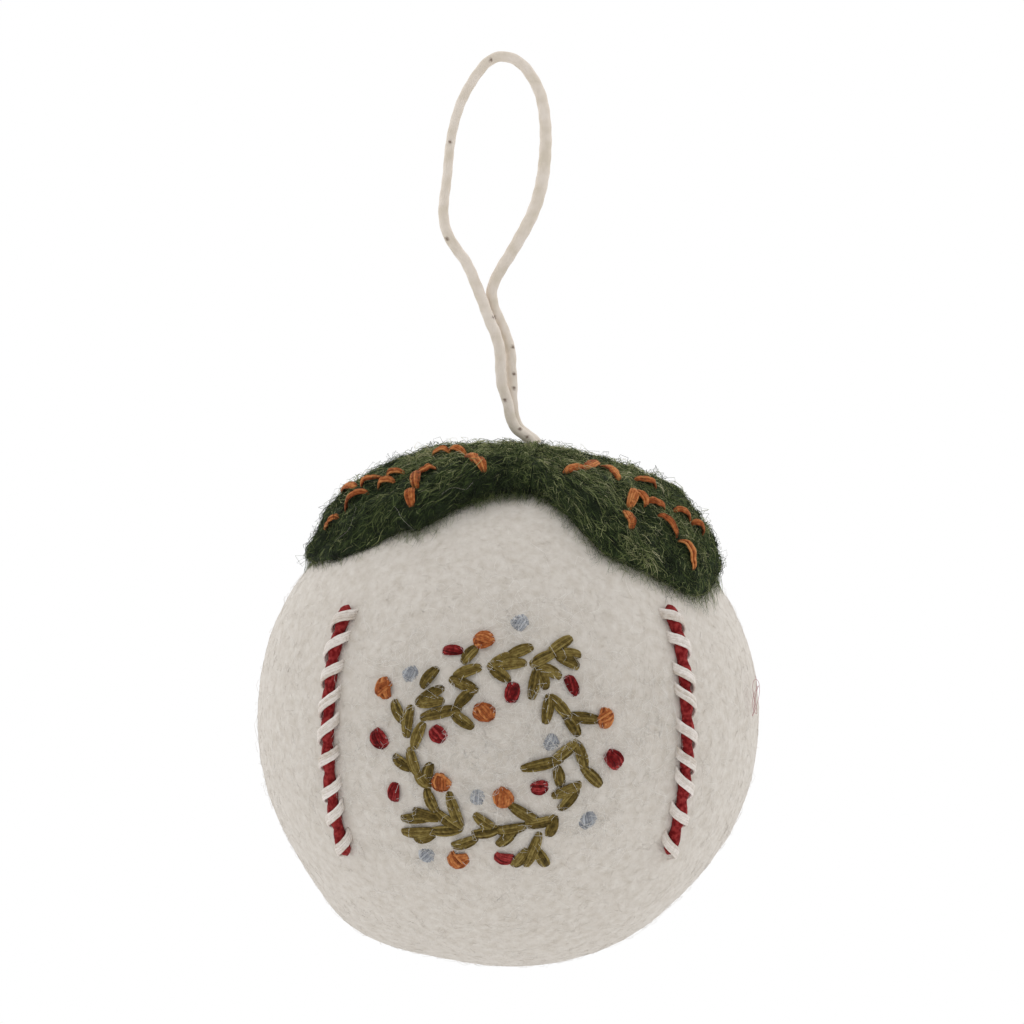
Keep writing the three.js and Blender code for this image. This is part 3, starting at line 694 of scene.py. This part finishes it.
def stitch(ends, skin, width, height, strands):
    """Strands side by side from each first to each second direction of ends: they leave the felt
    close together, spread to the width as sin(pi s)^0.5 at share s and rise to the height as
    sin(pi s)^0.35, the outer ones less, by the crown x the square of their share of the width."""
    s = np.linspace(0, 1, stitch_points)
    wave = np.sin(np.pi * np.clip(s, stitch_tip, 1 - stitch_tip))
    swell, climb = wave**0.5, wave**0.35
    ways = unit(ends[:, :1] * (1 - s[:, None]) + ends[:, 1:] * s[:, None])
    across = unit(np.cross(ends[:, 1:] - ends[:, :1], ways))
    spread = bundle_end + (1 - bundle_end) * swell
    lines = []
    for strand in range(strands):
        share = (2 * strand / (strands - 1) - 1) * (1 - 1 / strands)
        aside = across * (share * width / 2 * spread)[:, None]
        rise = -stitch_sink + (stitch_sink + height) * climb - stitch_crown * height * share**2
        lines.append(ways * (skin(ways) + rise)[..., None] + aside)
    lines = np.concatenate(lines)
    radius = width / strands / 2 * strand_overlap * (strand_end + (1 - strand_end) * swell)
    twist = (strand_plies, strand_groove, strand_pitch)
    return sweep(lines, unit(lines), radius, radius, strand_sides, *twist)


def add_strands(name, rings, material, seed=0):
    """Tubes for the strands of a stitch, each with a random tone of its own."""
    tone = np.random.default_rng(seed).uniform(0, 1, len(rings))
    return add_tubes(name, rings, material, np.repeat(tone, rings[0, ..., 0].size))


# Dyed wool and cotton threads, matt: each strand has a tone of its own and is paler where it is
# worn, which shows the strands of a stitch. Stops are dark, middle and light.
thread_stops = {
    "olive": ("#3D3212", "#665527", "#8C7B46"),
    "orange": ("#6E3416", "#A25A2F", "#C9864F"),
    "red": ("#420608", "#701114", "#A23B39"),
    "cream": ("#CCC1B5", "#DDD5CD", "#EDE6E0"),
    "blue": ("#787B82", "#9A9DA3", "#BCBFC4"),
}
thread = {}
for name, (dark, middle, light) in thread_stops.items():
    stops = [(0.4, dark), (0.7, middle), (1, light)]
    thread[name] = add_fabric(
        f"{name}_thread", stops, blotch=(0.6, 3), tone_share=0.45, relief=(0.4, 4, 0.12), sheen=0.05
    )

for number, sprig in enumerate(sprigs, 1):
    ends = seen_at(stitch_ends(sprig), ball_radius)
    rings = stitch(ends, ball_skin, sprig_width, sprig_height, sprig_strands) + ball_centre
    piece = add_strands(f"olive_stitches_{number:02d}", rings, thread["olive"], number)
    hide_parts(f"wreath_sprig_{number:02d}")
    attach(piece, "bauble")

# Veins: chains of short stitches of orange thread, sewn through the leaves, that sit a little
# down in their fuzz. Each is given by the pixels of its two ends.
left_veins = [
    (325, 525, 336, 516), (342, 494, 354, 486), (345, 508, 367, 492), (361, 483, 380, 475),
    (379, 485, 393, 480), (387, 474, 402, 470), (434, 466, 419, 471), (417, 472, 416, 485),
    (411, 488, 411, 502), (434, 451, 449, 450), (451, 449, 464, 452), (465, 452, 476, 461),
    (477, 459, 483, 468),
]
right_veins = [
    (566, 470, 584, 466), (587, 467, 599, 462), (602, 465, 618, 477), (637, 477, 656, 484),
    (634, 490, 630, 504), (625, 510, 631, 526), (636, 491, 646, 502), (650, 499, 664, 505),
    (660, 513, 678, 533), (680, 539, 695, 566), (702, 531, 694, 522), (690, 517, 676, 509),
]
vein_width, vein_height, vein_strands, vein_longest = 1.8, 1.1, 5, 7
vein_searches = 12
for side, veins, edge, thickness in (
    ("left", left_veins, left_edge, left_thickness),
    ("right", right_veins, right_edge, right_thickness),
):

    def leaf_top(way):
        """The distance of the leaf's top from the ball's centre, in each direction."""
        return np.linalg.norm(leaf_skin(*leaf_place(way, edge), edge, thickness), axis=-1)

    # What shows at a pixel depends on how high the leaf is there, and the other way round. Each
    # search goes half the way to the height that the last one found.
    ends = stitch_ends(veins)
    height = leaf_under + typical_thickness
    for _ in range(vein_searches):
        ways = seen_at(ends, height)
        height = (height + leaf_top(ways) + vein_height / 2) / 2
    # A stitch that runs away from the eye starts at its near end and is at most the longest one.
    near = ways[..., 1].argmin(1)[:, None, None]
    start = np.take_along_axis(ways, near, 1)
    run = np.take_along_axis(ways, 1 - near, 1) - start
    reach = leaf_under * np.linalg.norm(run, axis=-1, keepdims=True)
    ways = unit(np.concatenate([start, start + run * np.minimum(1, vein_longest / reach)], 1))
    rings = stitch(ways, leaf_top, vein_width, vein_height, vein_strands) + ball_centre
    piece = add_strands(f"leaf_{side}_vein_stitches", rings, thread["orange"])
    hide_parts(f"leaf_{side}_veins")
    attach(piece, "bauble")

# French knots: soft thread wound over a few times and drawn down in the felt, so that a second
# bundle of strands lies across the first. The pale blue ones have sunk in and are half covered.
# Each is given by its pixel, its length and width in pixels and its slope in degrees.
knots = {
    "orange": [
        (485, 640, 21, 18, -20), (385, 687, 22, 16, 80), (485, 711, 22, 19, 10),
        (604, 715, 21, 16, 95), (442, 780, 20, 18, 30), (503, 795, 20, 20, 50),
        (458, 856, 21, 17, -10),
    ],
    "blue": [
        (519, 622, 20, 18, 60), (412, 672, 20, 17, 70), (550, 740, 21, 16, 50),
        (478, 795, 21, 16, 15), (588, 818, 20, 19, 40), (428, 853, 20, 16, 80),
    ],
    "red": [
        (453, 650, 22, 11, 0), (513, 691, 22, 15, 100), (572, 684, 24, 12, 62),
        (437, 731, 18, 17, 40), (379, 737, 21, 18, 55), (396, 790, 20, 13, 90),
        (539, 784, 18, 15, -12), (611, 756, 20, 18, 45), (504, 852, 21, 13, 4),
    ],
}
knot_sink = {"orange": 0, "blue": 0.75, "red": 0.1}
knot_turn, knot_turn_range = {"orange": 55, "blue": 65, "red": 14}, (0.6, 1.3)
# Each layer: its share of the length and of the width, its height in mm, and 1 if it is turned.
knot_layers = [(1.0, 1.0, 0.85, 0), (0.86, 0.72, 1.3, 1)]
knot_strands, knot_wander = 5, 0.8
generator = np.random.default_rng(40)
for name, places in knots.items():

    def knot_bed(way):
        """The distance of the sunk knot's foot from the ball's centre."""
        return ball_skin(way) - knot_sink[name]

    for number, (x, y, length, width, slope) in enumerate(places, 1):
        layers = []
        for share, narrow, height, turned in knot_layers:
            more = turned * knot_turn[name] * generator.uniform(*knot_turn_range)
            turn = math.radians(slope + more)
            reach = share * length / 2 * np.array((math.cos(turn), math.sin(turn)))
            middle = (x, y) + generator.normal(0, knot_wander, 2)
            ends = seen_at(np.array([[middle - reach, middle + reach]]), ball_radius)
            across = narrow * width * mm_per_pixel
            layers.append(stitch(ends, knot_bed, across, height, knot_strands))
        rings = np.concatenate(layers) + ball_centre
        piece = add_strands(f"{name}_knot_{number:02d}", rings, thread[name], number)
        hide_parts(f"{name}_berry_{number:02d}")
        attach(piece, "bauble")

# Borders: a padded red cord laid on the felt left and right of the wreath, whipped down with
# slanting stitches of cream wool. The cord is fullest under a stitch and a little thinner on
# either side, and each stitch goes into the felt on both sides of it.
border = [(352, 606), (341, 640), (334, 684), (332, 728), (334, 772), (341, 816), (352, 850)]
border_points, border_sides = 90, 24
border_radius, border_height, border_pinch = 1.1, 0.75, 0.72
border_end, border_tip = 0.02, 0.2
border_plies, border_groove, border_pitch = 6, 0.05, 14
whip_count, whip_strands, whip_strand_radius, whip_strand_gap = 9, 4, 0.25, 1.75
whip_radius, whip_bulge, whip_sink, whip_half_turns = 1.5, 0.25, 0.35, (-0.18, 1.18)
whip_slant, whip_slant_range, whip_shift = 2.1, (0.8, 1.2), 0.3
whip_plies, whip_groove, whip_pitch, whip_tilt = 2, 0.12, 2, 0.01
for side, mirror in (("left", 1), ("right", -1)):
    pixels = np.array(border, float)
    pixels[:, 0] = ball_centre_pixel[0] + mirror * (pixels[:, 0] - ball_centre_pixel[0])
    ways = seen_at(smooth_line(pixels, border_points), ball_radius)
    s = np.linspace(0, 1, border_points)
    ends = np.minimum(1, np.minimum(s, 1 - s) / border_end) ** 0.5
    pinch = border_pinch + (1 - border_pinch) * np.abs(np.sin(np.pi * whip_count * s))
    line = ways * (ball_skin(ways) + border_height * pinch)[:, None]
    radius = (border_radius * pinch * np.maximum(ends, border_tip))[None]
    twist = (border_plies, border_groove, border_pitch)
    rings = sweep(line[None], ways[None], radius, radius, border_sides, *twist) + ball_centre
    core = add_strands(f"border_{side}_cord", rings, thread["red"])
    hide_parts(f"border_{side}")
    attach(core, "bauble")
    along = unit(np.gradient(line, axis=0))
    lines = []
    for number in range(whip_count):
        at = int(border_points * (number + 0.5) / whip_count)
        out = np.cross(along[at], ways[at])
        turn = np.linspace(*whip_half_turns, stitch_points)[:, None] * np.pi
        slant = whip_slant * generator.uniform(*whip_slant_range)
        shift = generator.normal(0, whip_shift)
        slide = shift + slant * np.linspace(-1, 1, stitch_points)[:, None]
        for strand in range(whip_strands):
            aside = (strand - (whip_strands - 1) / 2) * whip_strand_gap * whip_strand_radius
            lines.append(
                ways[at] * (np.linalg.norm(line[at]) - whip_sink)
                + ways[at] * whip_radius * np.sin(turn)
                - out * (whip_radius + whip_bulge) * np.cos(turn) * mirror
                + along[at] * (slide + aside)
            )
    lines = np.array(lines)
    up = unit(lines) + whip_tilt * along[0]
    twist = (whip_plies, whip_groove, whip_pitch)
    rings = sweep(lines, up, whip_strand_radius, whip_strand_radius, strand_sides, *twist)
    whipping = add_strands(f"border_{side}_whipping", rings + ball_centre, thread["cream"])
    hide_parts(f"border_whipping_{side}")
    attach(whipping, "bauble")

# Stray thread: one thin pink thread of lint, wound round a few times and caught on the right of
# the ball. Its turns get smaller downwards and sway in and out.
lint_pixel, lint_height = (755, 694), 41.6
lint_length, lint_width, lint_turns, lint_points = 7, 2.4, 2.3, 90
lint_sway, lint_sway_pace, lint_lean, lint_drop = 0.4, 1.7, 0.5, 0.9
lint_narrowing, lint_shortening = 0.6, 0.45
lint_radius, lint_sides = 0.04, 5
lint = add_fabric("pink_lint", "#B98A8C")
middle = seen_at(np.array(lint_pixel, float), lint_height)
across = unit(np.cross(middle, (0, 0, 1)))
s = np.linspace(0, 1, lint_points)
turn = 2 * np.pi * lint_turns * s
line = middle * (lint_height + lint_sway * np.sin(lint_sway_pace * turn))[:, None]
line += across * (lint_width / 2 * np.sin(turn) * (1 - lint_narrowing * s))[:, None]
line[:, 2] += lint_length / 2 * np.cos(turn + lint_lean) * (1 - lint_shortening * s) - lint_drop * s
up = np.tile([0, -1.0, 0], (1, lint_points, 1))
rings = sweep(line[None], up, lint_radius, lint_radius, lint_sides) + ball_centre
piece = add_tubes("lint_loop", rings, lint)
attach(piece, "bauble")

# Stray hairs: long pale wool hairs from the ball that lie on the fuzz of the left leaf.
stray_pixels = [
    [(389, 502), (398, 510), (404, 521), (415, 531)],
    [(352, 498), (357, 511), (352, 527), (339, 541)],
    [(443, 497), (452, 489), (466, 493), (474, 486)],
]
stray_points, stray_sides, stray_radius, stray_tone = 14, 4, 0.009, 0.4
stray_lift, stray_wave, stray_wave_size = 0.5, 0.3, 6
leaf_height = leaf_under + typical_thickness
lines = []
for number, pixels in enumerate(stray_pixels):
    way = seen_at(smooth_line(pixels, stray_points), leaf_height)
    wave = stray_wave * waves(way * ball_radius, stray_wave_size, 70 + number)
    lines.append(way * (leaf_height + stray_lift + wave)[:, None])
lines = np.array(lines)
rings = sweep(lines, unit(lines), stray_radius, stray_radius, stray_sides) + ball_centre
piece = add_tubes("pale_hairs", rings, wool_hair, np.full(rings[..., 0].size, stray_tone))
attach(piece, "bauble")

# Inside the ball, unseen: the core of carded wool and the two ends of the cord with their knot.
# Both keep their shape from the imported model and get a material.
core_material = add_fabric("carded_wool", [(0.3, "#A89C8A"), (0.7, "#C2B7A6")], blotch=(3, 4))
for name, material in (("wool_core", core_material), ("cord_knot", cotton)):
    node = bpy.data.objects[name]
    node.data.materials.clear()
    node.data.materials.append(material)

# Surroundings: a white light tent, a little darker on the camera's side, over a white table that
# is just short of clipping, so that it keeps the shadow of the bauble.
table_white = 0.9
table_reach, table_height = 800, -200
tent_bright_way, tent_range, tent_light = (0, 0.97, -0.24), (-1, 0.2), (0.62, 1.35)
world = bpy.data.worlds.new("light_tent")
world.use_nodes = True
tree = world.node_tree
tree.nodes.clear()
place = add_node(tree, "ShaderNodeTexCoord").outputs["Generated"]
inputs = {0: place, 1: tent_bright_way}
away = add_node(tree, "ShaderNodeVectorMath", inputs, operation="DOT_PRODUCT").outputs["Value"]
inputs = {"Value": away, "From Min": tent_range[0], "From Max": tent_range[1]}
inputs.update({"To Min": tent_light[0], "To Max": tent_light[1]})
toward = add_node(tree, "ShaderNodeMapRange", inputs).outputs[0]
light = add_node(tree, "ShaderNodeBackground", {"Color": (1, 1, 1, 1), "Strength": toward})
white = add_node(tree, "ShaderNodeBackground", {"Color": (1, 1, 1, 1)})
path = add_node(tree, "ShaderNodeLightPath").outputs
seen = path["Is Camera Ray"]
for ray in ("Is Glossy Ray", "Is Transmission Ray"):
    inputs = {0: seen, 1: path[ray]}
    seen = add_node(tree, "ShaderNodeMath", inputs, operation="MAXIMUM").outputs[0]
inputs = {0: seen, 1: light.outputs[0], 2: white.outputs[0]}
mix = add_node(tree, "ShaderNodeMixShader", inputs)
add_node(tree, "ShaderNodeOutputWorld", {"Surface": mix.outputs[0]})
bpy.context.scene.world = world

table, tree = add_material("white_table")
look = {"Color": (table_white, table_white, table_white, 1)}
diffuse = add_node(tree, "ShaderNodeBsdfDiffuse", look)
add_node(tree, "ShaderNodeOutputMaterial", {"Surface": diffuse.outputs[0]})
corners = table_reach * np.array([(-1, -1, 0), (1, -1, 0), (1, 1, 0), (-1, 1, 0)], float)
corners[:, 2] = table_height
floor = add_mesh("table_top", corners, [np.array([[0, 1, 2, 3]])], table)
bpy.context.scene.view_settings.view_transform = "Standard"
